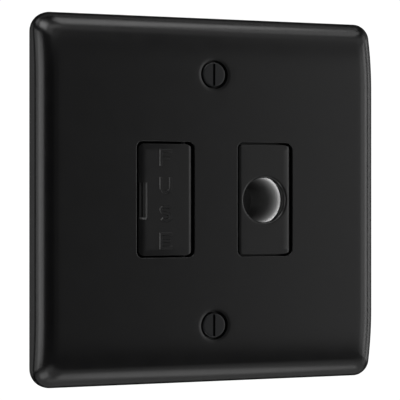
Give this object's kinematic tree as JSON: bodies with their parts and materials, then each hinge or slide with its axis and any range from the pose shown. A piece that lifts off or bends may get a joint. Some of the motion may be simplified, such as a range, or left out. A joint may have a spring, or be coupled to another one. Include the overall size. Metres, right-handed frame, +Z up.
{
  "type": "fused connection unit",
  "caption": "Square matt black one-gang wiring plate with a hinged fuse drawer and a round front flex outlet, screwed to a flush wall box.",
  "frame": {"origin": "middle of the plate on the wall plane, half way between the two box fixings", "axes": "+X to the right seen from the front, +Y into the wall, +Z up; the wall plane is Y = 0 and the plate stands in front of it at negative Y"},
  "size_m": [0.0882, 0.0294, 0.0886],
  "materials": {
    "plate_finish": "fine matt black powder coat on pressed steel",
    "screw_finish": "matt black plated steel",
    "insert_moulding": "satin black moulding",
    "sleeve_moulding": "satin grey moulding that lines the outlet's bore, darker towards its inner end",
    "moulding": "fine grained black moulding",
    "clamp_moulding": "matt black fibre-filled moulding",
    "gasket_foam": "closed-cell black foam strip",
    "pin_steel": "blackened drawn steel",
    "fuse_ceramic": "glazed ceramic tube",
    "plated_cap": "nickel plated brass",
    "contact_brass": "rolled spring brass strip",
    "terminal_brass": "machined brass",
    "plated_screw": "zinc plated steel"
  },
  "bodies": {
    "unit": {"front_plate": "plate_finish", "wall_gasket": "gasket_foam", "insulating_frame": "moulding", "rear_housing": "moulding", "outlet_insert": "insert_moulding", "outlet_sleeve": "sleeve_moulding", "carrier_hinge_pin": "pin_steel", "fuse_clip_upper": "contact_brass", "fuse_clip_lower": "contact_brass", "neutral_link": "contact_brass", "earth_strap": "contact_brass", "live_out_terminal": "terminal_brass", "live_in_terminal": "terminal_brass", "neutral_out_terminal": "terminal_brass", "neutral_in_terminal": "terminal_brass", "earth_out_terminal": "terminal_brass", "earth_in_terminal": "terminal_brass", "terminal_screws": "plated_screw", "cord_clamp_screws": "plated_screw", "fixing_screw_upper": "screw_finish", "fixing_screw_lower": "screw_finish", "stud_nuts": "plated_screw", "assembly_screws": "plated_screw"},
    "fuse_drawer": {"fuse_carrier": "insert_moulding", "fuse_body": "fuse_ceramic", "fuse_cap_upper": "plated_cap", "fuse_cap_lower": "plated_cap"},
    "clamp": {"cord_clamp_bar": "clamp_moulding"}
  },
  "joints": [
    {"name": "carrier_hinge", "type": "hinge", "parent": "unit", "child": "fuse_drawer", "pos_m": [-0.0076, -0.0057, 0], "axis": [0, 0, 1], "range_deg": [0, 80]},
    {"name": "clamp_slide", "type": "slide", "parent": "unit", "child": "clamp", "axis": [0, -1, 0], "range_m": [0, 0.003]}
  ]
}
